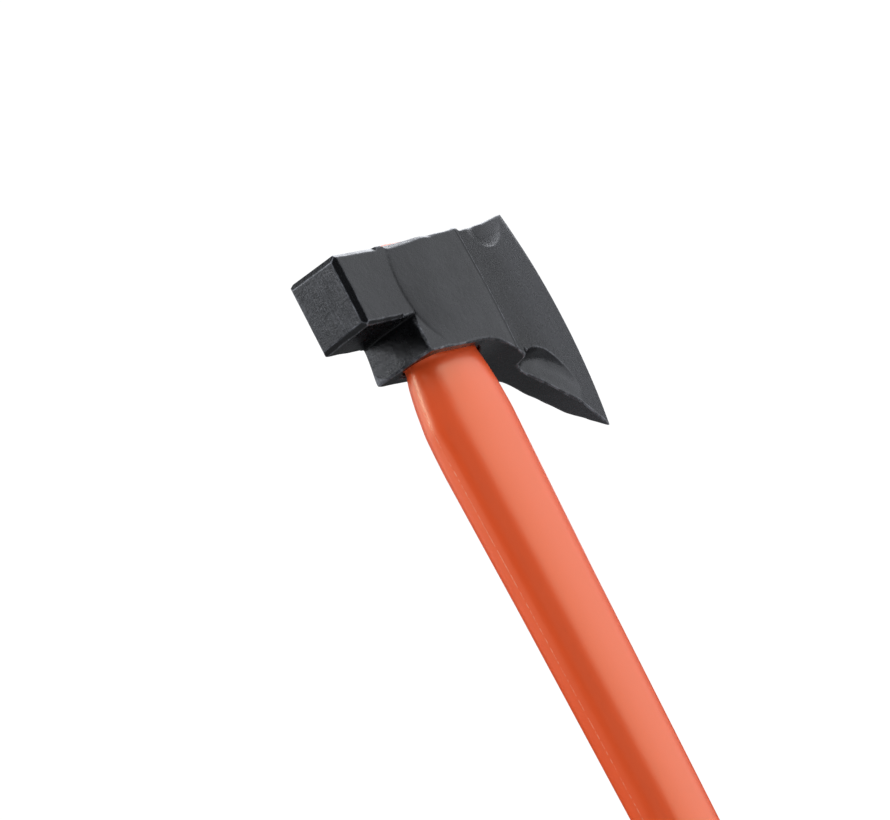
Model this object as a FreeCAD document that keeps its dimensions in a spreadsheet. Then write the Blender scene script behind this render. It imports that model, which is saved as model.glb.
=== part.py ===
"""Flathead fire axe, 36 inch, with a moulded handle over a glass-fibre core.

Frame: +Z up along the handle, +X towards the cutting edge, Y across the cheeks. The origin is on the
handle's axis in the plane of the eye's underside, where a bracket carries the head.
"""
import FreeCAD, Part
import math
import os
import Sketcher
from FreeCAD import Placement, Rotation, Vector

doc = FreeCAD.newDocument("fire_axe")

DIMENSIONS = {
    # Head, side view. Distances along X are named by their place, heights by theirs.
    "eye_height": 60.3,
    "poll_back": -63.8,
    "poll_bottom": 21.3,
    "lug_ridge": -31.2,
    "lug_corner": -29.5,
    "lug_half": 19.5,
    "beard_start": 24.5,
    "toe_x": 106.8,
    "toe_z": -52.9,
    "tip_x": 107.9,
    "tip_z": 72.2,
    "bit_top_start": 43.0,
    "edge_front": 115.0,
    "edge_radius": 266.0,
    # Head, thickness across the cheeks, as half widths.
    "poll_half": 17.1,
    "poll_crease": -25.5,
    "cheek_start": -14.0,
    "cheek_half": 20.0,
    "shoulder_x": 38.5,
    "shoulder_half": 19.2,
    "edge_half": 0.4,
    "bevel_reach": 30.0,
    "bevel_slope": 0.36,
    "web_half": 5.4,
    "face_chamfer": 2.6,
    "beard_fillet": 12.0,
    "lug_fillet": 3.0,
    # Hollows in the blade's cheeks: a round scoop at the top, a rounded corner at the bottom.
    "top_hollow_x": 68.0,
    "top_hollow_z": 88.0,
    "top_hollow_radius": 37.0,
    "low_hollow_x": 68.5,
    "low_hollow_z": -30.5,
    "low_hollow_radius": 22.4,
    "low_hollow_start": 41.0,
    # Eye, a stadium that widens upward from below the head's underside.
    "eye_reach": 26.0,
    "eye_half": 13.3,
    "eye_start": -6.0,
    "eye_taper": 1.2,
    "dam_bottom": 0.8,
    "dam_top": 5.0,
    # Handle. Every section is a stadium: its reach to the back, to the front, and its half width.
    "tenon_top": 63.0,
    "tenon_reach": 25.0,
    "tenon_half": 12.3,
    "neck_z": -14.0,
    "neck_back": 27.8,
    "neck_front": 25.3,
    "neck_half": 14.8,
    "knee_z": -34.0,
    "knee_back": 31.8,
    "knee_front": 26.0,
    "knee_half": 16.0,
    "throat_z": -130.0,
    "throat_back": 28.6,
    "throat_front": 22.8,
    "throat_half": 15.4,
    "shaft_z": -300.0,
    "shaft_back": 23.5,
    "shaft_front": 19.6,
    "shaft_half": 14.6,
    "grip_top": -535.0,
    "grip_bottom": -765.0,
    "grip_back": 19.5,
    "grip_front": 18.5,
    "grip_half": 13.8,
    "seat_back": 17.2,
    "seat_front": 16.2,
    "seat_half": 11.5,
    "seat_end": -812.0,
    "core_reach": 14.0,
    "core_half": 7.5,
    "core_end": -776.0,
    # Butt cap and eyelet.
    "butt_z": -828.0,
    "butt_back": 26.0,
    "butt_front": 20.5,
    "butt_fillet": 4.0,
    "hang_x": -1.5,
    "hang_z": -794.0,
    "hang_bore": 5.5,
    "barrel_wall": 0.8,
    "flange_radius": 9.0,
    "flange_thickness": 1.2,
    "flange_sink": 0.6,
}

sizes = doc.addObject("Spreadsheet::Sheet", "Sizes")
for row, (alias, value) in enumerate(DIMENSIONS.items(), start=1):
    sizes.set(f"A{row}", alias)
    sizes.set(f"B{row}", str(value))
    sizes.setAlias(f"B{row}", alias)
doc.recompute()


def formula(text):
    """Write every dimension's alias in a formula as a reference to the sheet."""
    words = []
    word = ""
    for letter in text + " ":
        if letter.isalnum() or letter == "_":
            word += letter
            continue
        words.append(f"Sizes.{word}" if word in DIMENSIONS else word)
        words.append(letter)
        word = ""
    return "".join(words).strip()


def value_of(text):
    """The number a formula gives with the sheet's present sizes."""
    return float(sizes.evalExpression(formula(text)))


def new_body(label):
    body = doc.addObject("PartDesign::Body", label)
    body.Label = label
    return body


def sketch_on(body, name, plane, offset=("0", "0", "0")):
    """An empty sketch on one of the body's origin planes, moved in that plane's own directions."""
    sketch = body.newObject("Sketcher::SketchObject", name)
    support = next(face for face in body.Origin.OriginFeatures if face.Role == plane)
    sketch.AttachmentSupport = [(support, "")]
    sketch.MapMode = "FlatFace"
    sketch.AttachmentOffset = Placement(Vector(*[value_of(way) for way in offset]), Rotation())
    for axis, way in zip("xyz", offset):
        sketch.setExpression(f"AttachmentOffset.Base.{axis}", formula(way))
    return sketch


def bind(sketch, name, text, *reference):
    """Add a named dimension to a sketch and tie it to the sheet."""
    index = sketch.addConstraint(Sketcher.Constraint(*reference, value_of(text)))
    sketch.renameConstraint(index, name)
    sketch.setExpression(f"Constraints.{name}", formula(text))


def draw_outline(sketch, name, corners, arc_after=None, arc_radius=None):
    """A closed outline through corners given as formulas; one side may be an outward arc."""
    points = [Vector(value_of(across), value_of(up), 0) for across, up in corners]
    sides = []
    for number, start in enumerate(points):
        end = points[(number + 1) % len(points)]
        if number == arc_after:
            radius = value_of(arc_radius)
            half_chord = (end - start) * 0.5
            inward = Vector(-half_chord.y, half_chord.x, 0).normalize()
            centre = start + half_chord + inward * math.sqrt(radius**2 - half_chord.Length**2)
            circle = Part.Circle(centre, Vector(0, 0, 1), radius)
            side = Part.ArcOfCircle(circle, circle.parameter(start), circle.parameter(end))
        else:
            side = Part.LineSegment(start, end)
        sides.append(sketch.addGeometry(side, False))
    for number, side in enumerate(sides):
        following = sides[(number + 1) % len(sides)]
        sketch.addConstraint(Sketcher.Constraint("Coincident", side, 2, following, 1))
        across, up = corners[number]
        bind(sketch, f"{name}_x{number}", across, "DistanceX", -1, 1, side, 1)
        bind(sketch, f"{name}_y{number}", up, "DistanceY", -1, 1, side, 1)
    if arc_radius:
        bind(sketch, f"{name}_arc", arc_radius, "Radius", sides[arc_after])


def draw_stadium(sketch, back, front, half):
    """Two half circles joined by straight sides, lengthwise along the sketch's X."""
    radius = value_of(half)
    front_centre = Vector(value_of(front) - radius, 0, 0)
    back_centre = Vector(radius - value_of(back), 0, 0)
    side = Vector(0, radius, 0)
    upright = Vector(0, 0, 1)
    front_arc = Part.ArcOfCircle(Part.Circle(front_centre, upright, radius), -math.pi / 2, math.pi / 2)
    back_arc = Part.ArcOfCircle(Part.Circle(back_centre, upright, radius), math.pi / 2, 3 * math.pi / 2)
    nose = sketch.addGeometry(front_arc, False)
    left = sketch.addGeometry(Part.LineSegment(front_centre + side, back_centre + side), False)
    tail = sketch.addGeometry(back_arc, False)
    right = sketch.addGeometry(Part.LineSegment(back_centre - side, front_centre - side), False)
    for first, second in ((nose, left), (left, tail), (tail, right), (right, nose)):
        sketch.addConstraint(Sketcher.Constraint("Tangent", first, 2, second, 1))
    sketch.addConstraint(Sketcher.Constraint("PointOnObject", nose, 3, -1))
    sketch.addConstraint(Sketcher.Constraint("PointOnObject", tail, 3, -1))
    sketch.addConstraint(Sketcher.Constraint("Horizontal", left))
    bind(sketch, "front", f"{front} - {half}", "DistanceX", -1, 1, nose, 3)
    bind(sketch, "back", f"{back} - {half}", "DistanceX", tail, 3, -1, 1)
    bind(sketch, "half", half, "Radius", nose)


def draw_circle(sketch, radius, across="0", up="0"):
    centre = Vector(value_of(across), value_of(up), 0)
    ring = sketch.addGeometry(Part.Circle(centre, Vector(0, 0, 1), value_of(radius)), False)
    bind(sketch, "radius", radius, "Radius", ring)
    bind(sketch, "across", across, "DistanceX", -1, 1, ring, 3)
    bind(sketch, "up", up, "DistanceY", -1, 1, ring, 3)


def add_feature(body, kind, name, sketch, length=None, **settings):
    """A sketch-based feature; its length, if it has one, is a formula."""
    feature = body.newObject(f"PartDesign::{kind}", name)
    feature.Profile = sketch
    if length:
        feature.setExpression("Length", formula(length))
    for setting, value in settings.items():
        setattr(feature, setting, value)
    sketch.Visibility = False
    doc.recompute()
    return feature


def dress_edges(body, kind, name, size, chosen):
    """A fillet or chamfer on the edges of the body's present tip that the test chooses."""
    base = body.Tip
    edges = [f"Edge{n}" for n, edge in enumerate(base.Shape.Edges, start=1) if chosen(edge)]
    feature = body.newObject(f"PartDesign::{kind}", name)
    feature.Base = (base, edges)
    feature.setExpression("Radius" if kind == "Fillet" else "Size", formula(size))
    doc.recompute()
    return feature


def lies_at(edge, axis, text, slack=0.01):
    """Whether all of an edge is at one X, Y or Z."""
    low = getattr(edge.BoundBox, f"{axis}Min")
    high = getattr(edge.BoundBox, f"{axis}Max")
    return abs(low - value_of(text)) < slack and abs(high - value_of(text)) < slack


def mirrored_corners(corners):
    """The same outline on the other side of the sketch's X axis, drawn the same way round."""
    return [(across, f"-({up})") for across, up in reversed(corners)]


def draw_both_sides(sketch, corners):
    draw_outline(sketch, "left", corners)
    draw_outline(sketch, "right", mirrored_corners(corners))


def make_head():
    """The forging: a side profile, thinned from both sides, with the eye sunk through it."""
    body = new_body("axe_head")
    profile = sketch_on(body, "HeadProfile", "XZ_Plane")
    draw_outline(
        profile,
        "side",
        [
            ("poll_back", "poll_bottom"),
            ("lug_ridge", "poll_bottom"),
            ("lug_ridge", "0"),
            ("beard_start", "0"),
            ("toe_x", "toe_z"),
            ("tip_x", "tip_z"),
            ("bit_top_start", "eye_height"),
            ("poll_back", "eye_height"),
        ],
        arc_after=4,
        arc_radius="edge_radius",
    )
    add_feature(body, "Pad", "HeadBlank", profile, "2 * cheek_half", Midplane=True)
    dress_edges(body, "Fillet", "BeardFillet", "beard_fillet",
                lambda edge: lies_at(edge, "X", "beard_start"))
    dress_edges(body, "Fillet", "LugFillet", "lug_fillet",
                lambda edge: lies_at(edge, "X", "lug_ridge") and lies_at(edge, "Z", "poll_bottom"))
    thin_poll(body)
    thin_blade(body)
    bevel_edge(body)
    hollow_cheeks(body)
    dress_edges(body, "Chamfer", "FaceChamfer", "face_chamfer",
                lambda edge: lies_at(edge, "X", "poll_back"))
    eye = sketch_on(body, "EyeMouth", "XY_Plane", ("0", "0", "eye_start"))
    draw_stadium(eye, "eye_reach", "eye_reach", "eye_half")
    pocket = add_feature(body, "Pocket", "Eye", eye, "eye_height - eye_start + 10", Reversed=True)
    pocket.setExpression("TaperAngle", formula("eye_taper"))
    return body


def thin_poll(body):
    """The poll is narrower than the eye, and the lug under it comes to a low ridge at the back."""
    poll = sketch_on(body, "PollRelief", "XY_Plane", ("0", "0", "poll_bottom"))
    draw_both_sides(poll, [
        ("poll_back - 1", "poll_half"),
        ("poll_crease", "poll_half"),
        ("cheek_start", "cheek_half"),
        ("cheek_start", "cheek_half + 1"),
        ("poll_back - 1", "cheek_half + 1"),
    ])
    add_feature(body, "Pocket", "PollSides", poll, "eye_height", Reversed=True)
    lug = sketch_on(body, "LugRelief", "XY_Plane")
    draw_both_sides(lug, [
        ("lug_ridge", "0.001"),
        ("lug_corner", "lug_half"),
        ("cheek_start", "cheek_half"),
        ("cheek_start", "cheek_half + 1"),
        ("lug_ridge - 1", "cheek_half + 1"),
        ("lug_ridge - 1", "0.001"),
    ])
    add_feature(body, "Pocket", "LugSides", lug, "poll_bottom", Reversed=True)


def thin_blade(body):
    """Behind a small step at the shoulder, flat cheeks converge on the cutting edge."""
    cheeks = sketch_on(body, "BladeRelief", "XY_Plane")
    draw_both_sides(cheeks, [
        ("shoulder_x", "shoulder_half"),
        ("edge_front + 1", "edge_half"),
        ("edge_front + 1", "cheek_half + 1"),
        ("shoulder_x", "cheek_half + 1"),
    ])
    add_feature(body, "Pocket", "BladeCheeks", cheeks, "4 * eye_height", Midplane=True)


def bevel_edge(body):
    """Cones about the cutting edge's own centre make the edge equally thin along its curve."""
    centre = ("edge_front - edge_radius", "0", "(tip_z + toe_z) / 2")
    bevel = sketch_on(body, "EdgeRelief", "XY_Plane", centre)
    draw_both_sides(bevel, [
        ("edge_radius - bevel_reach", "edge_half + bevel_slope * bevel_reach"),
        ("edge_radius + 1", "edge_half - bevel_slope"),
        ("edge_radius + 1", "cheek_half + 1"),
        ("edge_radius - bevel_reach", "cheek_half + 1"),
    ])
    add_feature(body, "Groove", "EdgeBevel", bevel,
                ReferenceAxis=(bevel, ["V_Axis"]), Angle=60, Midplane=True)


def hollow_cheeks(body):
    """Scoops at the top and the bottom of the blade leave a web of even thickness."""
    for name, side in (("Near", "-1"), ("Far", "1")):
        start = ("0", "0", f"-({side}) * web_half")
        scoop = sketch_on(body, f"{name}TopOutline", "XZ_Plane", start)
        draw_circle(scoop, "top_hollow_radius", "top_hollow_x", "top_hollow_z")
        add_feature(body, "Pocket", f"{name}TopHollow", scoop, "cheek_half", Reversed=side == "-1")
        corner = sketch_on(body, f"{name}LowOutline", "XZ_Plane", start)
        draw_outline(
            corner,
            "scoop",
            [
                ("low_hollow_x + low_hollow_radius", "toe_z - 10"),
                ("low_hollow_x + low_hollow_radius", "low_hollow_z"),
                ("low_hollow_x", "low_hollow_z + low_hollow_radius"),
                ("low_hollow_start", "low_hollow_z + low_hollow_radius"),
                ("low_hollow_start", "toe_z - 10"),
            ],
            arc_after=1,
            arc_radius="low_hollow_radius",
        )
        add_feature(body, "Pocket", f"{name}LowHollow", corner, "cheek_half", Reversed=side == "-1")


def make_handle_jacket():
    """The moulded handle: a straight tenon, a lofted shaft, and a thinner seat for grip and cap."""
    body = new_body("handle_jacket")
    tenon = sketch_on(body, "TenonSection", "XY_Plane")
    draw_stadium(tenon, "tenon_reach", "tenon_reach", "tenon_half")
    add_feature(body, "Pad", "Tenon", tenon, "tenon_top")
    sections = []
    for part in ("neck", "knee", "throat", "shaft"):
        section = sketch_on(body, f"{part.title()}Section", "XY_Plane", ("0", "0", f"{part}_z"))
        draw_stadium(section, f"{part}_back", f"{part}_front", f"{part}_half")
        sections.append(section)
    last = sketch_on(body, "GripSection", "XY_Plane", ("0", "0", "grip_top"))
    draw_stadium(last, "grip_back", "grip_front", "grip_half")
    sections.append(last)
    add_feature(body, "AdditiveLoft", "Shaft", tenon, Sections=sections, Ruled=True)
    seat = sketch_on(body, "SeatSection", "XY_Plane", ("0", "0", "seat_end"))
    draw_stadium(seat, "seat_back", "seat_front", "seat_half")
    add_feature(body, "Pad", "Seat", seat, "grip_top - seat_end")
    core = sketch_on(body, "CoreHole", "XY_Plane", ("0", "0", "core_end"))
    draw_stadium(core, "core_reach", "core_reach", "core_half")
    add_feature(body, "Pocket", "CoreBore", core, "tenon_top - core_end", Reversed=True)
    hole = sketch_on(body, "HangHole", "XZ_Plane")
    draw_circle(hole, "hang_bore + barrel_wall", "hang_x", "hang_z")
    add_feature(body, "Pocket", "HangBore", hole, "4 * grip_half", Midplane=True)
    return body


def make_handle_core():
    """The pultruded rod, from the tenon's top to just above the hanging hole."""
    body = new_body("handle_core")
    section = sketch_on(body, "CoreSection", "XY_Plane", ("0", "0", "core_end"))
    draw_stadium(section, "core_reach", "core_reach", "core_half")
    add_feature(body, "Pad", "Rod", section, "tenon_top - core_end")
    return body


def make_eye_ring(label, bottom, top):
    """A layer of what fills the eye between the steel and the tenon, from one height to another."""
    body = new_body(label)
    mouth = sketch_on(body, f"{label}_mouth", "XY_Plane", ("0", "0", "eye_start"))
    draw_stadium(mouth, "eye_reach", "eye_reach", "eye_half")
    filling = add_feature(body, "Pad", f"{label}_filling", mouth, "eye_height - eye_start + 10")
    filling.setExpression("TaperAngle", formula("eye_taper"))
    doc.recompute()
    tenon = sketch_on(body, f"{label}_tenon", "XY_Plane", ("0", "0", "eye_start"))
    draw_stadium(tenon, "tenon_reach", "tenon_reach", "tenon_half")
    add_feature(body, "Pocket", f"{label}_hollow", tenon, "2 * eye_height", Reversed=True)
    for name, height, upward in (("below", bottom, False), ("above", top, True)):
        cut = sketch_on(body, f"{label}_{name}", "XY_Plane", ("0", "0", height))
        draw_stadium(cut, "2 * eye_reach", "2 * eye_reach", "2 * eye_half")
        add_feature(body, "Pocket", f"{label}_trim_{name}", cut, "2 * eye_height", Reversed=upward)
    return body


def make_grip_sleeve():
    """The rubber grip, flush with the shaft above it."""
    body = new_body("grip_sleeve")
    outside = sketch_on(body, "GripOutside", "XY_Plane", ("0", "0", "grip_bottom"))
    draw_stadium(outside, "grip_back", "grip_front", "grip_half")
    add_feature(body, "Pad", "Sleeve", outside, "grip_top - grip_bottom")
    inside = sketch_on(body, "GripInside", "XY_Plane", ("0", "0", "grip_bottom"))
    draw_stadium(inside, "seat_back", "seat_front", "seat_half")
    add_feature(body, "Pocket", "SleeveBore", inside, "grip_top - grip_bottom", Reversed=True)
    return body


def make_butt_cap():
    """The flared end cap, with a socket for the seat, the hanging hole and recesses for its flanges."""
    body = new_body("butt_cap")
    top = sketch_on(body, "CapTop", "XY_Plane", ("0", "0", "grip_bottom"))
    draw_stadium(top, "grip_back", "grip_front", "grip_half")
    end = sketch_on(body, "CapEnd", "XY_Plane", ("0", "0", "butt_z"))
    draw_stadium(end, "butt_back", "butt_front", "grip_half")
    add_feature(body, "AdditiveLoft", "Cap", top, Sections=[end], Ruled=True)
    dress_edges(body, "Fillet", "CapRound", "butt_fillet", lambda edge: lies_at(edge, "Z", "butt_z"))
    socket = sketch_on(body, "SocketSection", "XY_Plane", ("0", "0", "seat_end"))
    draw_stadium(socket, "seat_back", "seat_front", "seat_half")
    add_feature(body, "Pocket", "Socket", socket, "grip_bottom - seat_end", Reversed=True)
    hole = sketch_on(body, "CapHole", "XZ_Plane")
    draw_circle(hole, "hang_bore + barrel_wall", "hang_x", "hang_z")
    add_feature(body, "Pocket", "CapBore", hole, "4 * grip_half", Midplane=True)
    for name, side in (("Near", "-1"), ("Far", "1")):
        start = ("0", "0", f"-({side}) * (grip_half - flange_sink)")
        recess = sketch_on(body, f"{name}Recess", "XZ_Plane", start)
        draw_circle(recess, "flange_radius", "hang_x", "hang_z")
        add_feature(body, "Pocket", f"{name}Seat", recess, "grip_half", Reversed=side == "-1")
    return body


def make_ring(label, near, far, inner, outer):
    """A ring about the hanging hole's axis between two places along Y."""
    body = new_body(label)
    disc = sketch_on(body, f"{label}_disc", "XZ_Plane", ("0", "0", f"-({far})"))
    draw_circle(disc, outer, "hang_x", "hang_z")
    add_feature(body, "Pad", f"{label}_blank", disc, f"{far} - ({near})")
    return body


def make_hang_eyelet():
    """The barrel through the butt, with its flange on the near side."""
    flange_back = "-(grip_half - flange_sink)"
    flange_front = f"{flange_back} - flange_thickness"
    far_end = "grip_half - flange_sink + flange_thickness"
    body = make_ring("hang_eyelet", flange_front, flange_back, "hang_bore", "flange_radius")
    barrel = sketch_on(body, "BarrelSection", "XZ_Plane", ("0", "0", f"-({far_end})"))
    draw_circle(barrel, "hang_bore + barrel_wall", "hang_x", "hang_z")
    add_feature(body, "Pad", "Barrel", barrel, f"{far_end} - ({flange_back})")
    bore = sketch_on(body, "EyeletBore", "XZ_Plane")
    draw_circle(bore, "hang_bore", "hang_x", "hang_z")
    add_feature(body, "Pocket", "Bore", bore, "4 * grip_half", Midplane=True)
    return body


def make_eyelet_washer():
    """The counter ring on the far side, around the barrel's end."""
    near = "grip_half - flange_sink"
    body = make_ring("eyelet_washer", near, f"{near} + flange_thickness",
                     "hang_bore + barrel_wall", "flange_radius")
    bore = sketch_on(body, "WasherBore", "XZ_Plane")
    draw_circle(bore, "hang_bore + barrel_wall", "hang_x", "hang_z")
    add_feature(body, "Pocket", "WasherHole", bore, "4 * grip_half", Midplane=True)
    return body


pieces = [
    make_head(),
    make_handle_jacket(),
    make_handle_core(),
    make_eye_ring("eye_dam", "dam_bottom", "dam_top"),
    make_eye_ring("eye_resin", "dam_top", "eye_height"),
    make_grip_sleeve(),
    make_butt_cap(),
    make_hang_eyelet(),
    make_eyelet_washer(),
]
doc.recompute()

for item in doc.Objects:
    if "Invalid" in item.State or "Error" in item.State:
        raise RuntimeError(f"{item.Label} did not compute: {item.State}")
for piece in pieces:
    if piece.Shape.isNull() or not piece.Shape.isValid():
        raise RuntimeError(f"{piece.Label} has no valid shape")

os.makedirs("parts", exist_ok=True)
for piece in pieces:
    piece.Shape.exportStep(f"parts/{piece.Label}.step")
    box = piece.Shape.BoundBox
    print(f"{piece.Label}: {piece.Shape.Volume:.0f} mm3, {len(piece.Shape.Solids)} solid,",
          f"x {box.XMin:.1f} {box.XMax:.1f} y {box.YMin:.1f} {box.YMax:.1f} z {box.ZMin:.1f} {box.ZMax:.1f}")
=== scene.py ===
"""The looks of a flathead fire axe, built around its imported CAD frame.

Shapes are worked out in millimetres in the CAD frame (+Z up the handle, +X to the cutting edge) and
turned into metres when a mesh is made.
"""
import math
import bpy
import numpy as np
import openvdb
from mathutils import Matrix, Vector


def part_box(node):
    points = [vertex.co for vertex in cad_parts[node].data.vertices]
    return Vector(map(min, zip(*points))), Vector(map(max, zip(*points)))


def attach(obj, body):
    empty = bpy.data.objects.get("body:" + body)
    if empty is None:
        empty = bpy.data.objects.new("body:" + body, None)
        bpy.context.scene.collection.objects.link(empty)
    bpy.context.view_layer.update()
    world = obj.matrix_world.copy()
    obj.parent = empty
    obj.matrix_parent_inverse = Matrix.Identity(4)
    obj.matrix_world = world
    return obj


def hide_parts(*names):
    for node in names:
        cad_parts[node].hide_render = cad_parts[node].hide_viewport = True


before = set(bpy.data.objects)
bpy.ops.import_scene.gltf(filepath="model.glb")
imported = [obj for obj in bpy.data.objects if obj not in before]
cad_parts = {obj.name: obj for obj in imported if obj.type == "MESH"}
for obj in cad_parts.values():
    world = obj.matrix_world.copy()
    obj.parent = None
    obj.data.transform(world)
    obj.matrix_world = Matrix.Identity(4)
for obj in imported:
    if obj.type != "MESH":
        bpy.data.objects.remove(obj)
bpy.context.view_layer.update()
scene = bpy.context.scene

MM = 0.001
HALF_PI = math.pi / 2
COOL_WHITE = (0.97, 1.0, 1.06)


def box_mm(node):
    """Lowest and highest corner of a CAD node, in millimetres."""
    low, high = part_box(node)
    return low / MM, high / MM


# ---------------------------------------------------------------- meshes

def add_mesh(name, points, faces, smooth=True):
    """A mesh object from points in millimetres and faces as rows of point numbers."""
    mesh = bpy.data.meshes.new(name)
    mesh.from_pydata((np.asarray(points) * MM).tolist(), [], [list(face) for face in faces])
    mesh.validate()
    mesh.polygons.foreach_set("use_smooth", [smooth] * len(mesh.polygons))
    piece = bpy.data.objects.new(name, mesh)
    scene.collection.objects.link(piece)
    return piece


def bake_modifiers(piece):
    """Keep the mesh as its modifiers leave it."""
    graph = bpy.context.evaluated_depsgraph_get()
    baked = bpy.data.meshes.new_from_object(piece.evaluated_get(graph))
    piece.modifiers.clear()
    piece.data = baked


def stand_for(piece, node, material):
    """The piece takes the CAD node's place."""
    piece.data.materials.clear()
    piece.data.materials.append(material)
    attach(piece, "root")
    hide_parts(node)


def skin_rings(rings, closed=False, ends=False):
    """Faces over rings of equally many points, which run downwards round the outside of a shape.

    closed joins the last ring to the first, and ends puts a flat face over the first and the last.
    """
    count, around = len(rings), len(rings[0])
    faces = []
    for row in range(count if closed else count - 1):
        here = row * around
        below = (row + 1) % count * around
        for step in range(around):
            following = (step + 1) % around
            faces.append((here + step, below + step, below + following, here + following))
    if ends:
        faces.append(tuple(range(around)))
        faces.append(tuple(reversed(range((count - 1) * around, count * around))))
    return faces


# ---------------------------------------------------------------- smooth distance tools

def smooth_step(value):
    """A smooth rise from 0 to 1 while the value goes from 0 to 1."""
    value = np.clip(value, 0, 1)
    return value * value * (3 - 2 * value)


def smooth_max(a, b, reach):
    """The larger value, rounded over where the two come within reach of each other."""
    overlap = np.maximum(reach - np.abs(a - b), 0)
    return np.maximum(a, b) + overlap * overlap / (4 * reach)


def smooth_min(a, b, reach):
    """The smaller value, rounded the same way."""
    return -smooth_max(-a, -b, reach)


def wobble(u, v, size, seed):
    """Smooth random heights from -1 to 1 over a plane, with bumps about size apart."""
    lattice = np.random.default_rng(seed).uniform(-1, 1, (128, 128))
    column = u / size + 40.37
    row = v / size + 61.71
    i = np.floor(column).astype(int)
    j = np.floor(row).astype(int)
    across = smooth_step(column - i)
    up = smooth_step(row - j)
    low = lattice[i % 128, j % 128] * (1 - across) + lattice[(i + 1) % 128, j % 128] * across
    high = lattice[i % 128, (j + 1) % 128] * (1 - across)
    high = high + lattice[(i + 1) % 128, (j + 1) % 128] * across
    return low * (1 - up) + high * up


def through_points(points, steps=12):
    """A smooth closed line through given points, as a Catmull-Rom spline."""
    points = np.array(points, float)
    share = np.linspace(0, 1, steps, endpoint=False)[:, None]
    line = []
    for number in range(len(points)):
        before, start, end, after = (points[(number + k) % len(points)] for k in (-1, 0, 1, 2))
        line.append(0.5 * (2 * start + (end - before) * share
                           + (2 * before - 5 * start + 4 * end - after) * share**2
                           + (3 * start - before - 3 * end + after) * share**3))
    return np.concatenate(line)


def outline_distance(x, z, line):
    """Distance to a closed outline, negative inside it."""
    nearest = np.full(np.broadcast(x, z).shape, 1e9)
    inside = np.zeros(nearest.shape, bool)
    for (x0, z0), (x1, z1) in zip(line, np.roll(line, -1, axis=0)):
        along = np.clip(((x - x0) * (x1 - x0) + (z - z0) * (z1 - z0))
                        / ((x1 - x0) ** 2 + (z1 - z0) ** 2), 0, 1)
        nearest = np.minimum(nearest, np.hypot(x - x0 - along * (x1 - x0), z - z0 - along * (z1 - z0)))
        if z0 != z1:
            crosses = (z0 > z) != (z1 > z)
            inside ^= crosses & (x < x0 + (z - z0) * (x1 - x0) / (z1 - z0))
    return np.where(inside, -nearest, nearest)


# ---------------------------------------------------------------- axe head

HEAD_LOW, HEAD_HIGH = box_mm("axe_head")
POLL_BACK = HEAD_LOW.x
EDGE_FRONT = HEAD_HIGH.x
CHEEK_HALF = HEAD_HIGH.y
EYE_TOP = 60.8
POLL_BOTTOM = 21.3
POLL_HALF = 17.1
FACE_CHAMFER = 2.6
SIDE_CHAMFER = 3.4
LUG_BACK = -31.2
LUG_HALF = 19.5
SHOULDER_HALF = 19.2
BEARD_START = 24.5
TOE_X = 106.8
TIP_X = 107.9
TOE_Z = HEAD_LOW.z
TIP_Z = HEAD_HIGH.z
BIT_TOP_START = 43.0
EDGE_RADIUS = 266.0
EDGE_HALF = 0.4
BEVEL_SLOPE = 0.42
BLADE_SLOPE = (SHOULDER_HALF - EDGE_HALF) / (EDGE_FRONT - 39.3)
# The slope of the blade's lower edge, from the beard's start to the toe.
BEARD_DROP = TOE_Z / (TOE_X - BEARD_START)
# The hollow in each cheek's top corner: its centre's X and Z with its radius, then its depth and wall.
TOP_SCOOP = (68.0, 88.0, 37.0)
TOP_SCOOP_DEPTH = 2.7
TOP_SCOOP_WALL = 11.0
# Half the thickness of the web between the low hollows, what its lip adds, and the hollow's outline.
WEB_HALF = 5.1
WEB_LIP = 2.5
LIP_HEIGHT = 20.0
LOW_SCOOP = [(44.6, -13.0), (50.0, -9.2), (57.0, -7.6), (66.0, -7.7), (74.0, -9.6), (82.3, -14.8),
             (88.7, -21.0), (91.8, -29.0), (91.0, -36.4), (87.0, -44.5), (80.0, -62.0), (46.0, -62.0)]
# The eye's hole: half its length and width at EYE_MOUTH_Z, and how fast it widens upwards.
EYE_REACH = 26.0
EYE_HALF = 13.3
EYE_MOUTH_Z = -6.0
EYE_FLARE = math.tan(math.radians(1.2))


def shoulder_line(z):
    """Where the eye's cheek ends, bowed a little towards the blade at mid height."""
    return 38.2 + 1.5 * (1 - ((z - 22) / 37) ** 2)


def crease_line(z):
    """Where the poll's cheek meets the eye's."""
    return -26.3 + 0.0107 * (z - 37) ** 2


def edge_distance(x, z):
    """How far a place lies behind the curved cutting edge."""
    return EDGE_RADIUS - np.hypot(x - EDGE_FRONT + EDGE_RADIUS, z - (TIP_Z + TOE_Z) / 2)


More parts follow.
